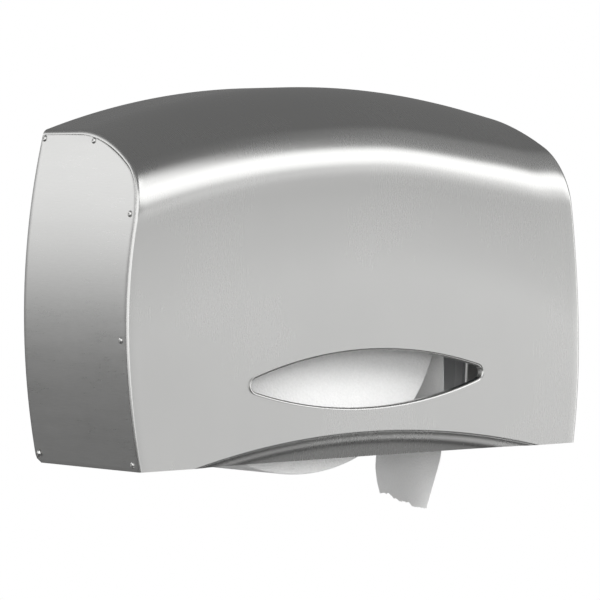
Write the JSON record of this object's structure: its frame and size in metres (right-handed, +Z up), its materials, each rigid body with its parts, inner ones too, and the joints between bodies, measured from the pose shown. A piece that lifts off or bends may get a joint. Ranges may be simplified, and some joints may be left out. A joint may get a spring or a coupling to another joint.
{
  "type": "jumbo toilet roll dispenser",
  "caption": "Wall-mounted jumbo toilet roll dispenser: bowed steel cover that hinges down, oval sight window, roll and spare spindles, keyed lock.",
  "frame": {"origin": "middle of the four wall holes, in the plane of the wall", "axes": "+X to the right seen from the front, -Y out of the wall, +Z up"},
  "size_m": [0.3582, 0.15, 0.2895],
  "materials": {
    "cover_steel": "fine vertical brushing, satin",
    "bright_steel": "polished pins, rivets and tear bar",
    "plate_steel": "satin grey",
    "lock_zinc": "bright plated",
    "hub_plastic": "moulded grey",
    "tissue": "soft embossed tissue paper",
    "cardboard": "spiral-wound cardboard"
  },
  "bodies": {
    "base": {"back_plate": "plate_steel", "hinge_bracket_left": "plate_steel", "hinge_bracket_right": "plate_steel", "hinge_pin_left": "bright_steel", "hinge_pin_right": "bright_steel", "lock_strike": "plate_steel", "spindle_base": "plate_steel", "spindle": "bright_steel", "spindle_clip": "bright_steel", "spare_base": "plate_steel", "spare_spindle": "bright_steel", "spare_clip": "bright_steel", "base_rivets": "bright_steel", "paper_tail": "tissue"},
    "cover": {"cover_wrap": "cover_steel", "side_panel_left": "cover_steel", "side_panel_right": "cover_steel", "rivets_left": "bright_steel", "rivets_right": "bright_steel", "tear_bar": "bright_steel", "lock_barrel": "lock_zinc", "lock_nut": "lock_zinc"},
    "lock": {"lock_plug": "lock_zinc", "lock_cam": "bright_steel", "cam_screw": "bright_steel"},
    "roll": {"roll_hub": "hub_plastic", "roll_core": "cardboard", "paper_roll": "tissue"},
    "spare": {"spare_hub": "hub_plastic"}
  },
  "joints": [
    {"name": "cover_hinge", "type": "hinge", "parent": "base", "child": "cover", "pos_m": [0, -0.007, -0.1185], "axis": [1, 0, 0], "range_deg": [0, 85]},
    {"name": "lock_turn", "type": "hinge", "parent": "cover", "child": "lock", "pos_m": [0.16804, -0.029, 0.06], "axis": [-0.9807, 0, -0.1954], "range_deg": [0, 90]},
    {"name": "roll_spin", "type": "hinge", "parent": "base", "child": "roll", "pos_m": [-0.0275, -0.07, -0.0235], "axis": [0, 1, 0], "continuous": true},
    {"name": "spare_spin", "type": "hinge", "parent": "base", "child": "spare", "pos_m": [0.122, -0.056, -0.013], "axis": [0, 1, 0], "continuous": true}
  ]
}
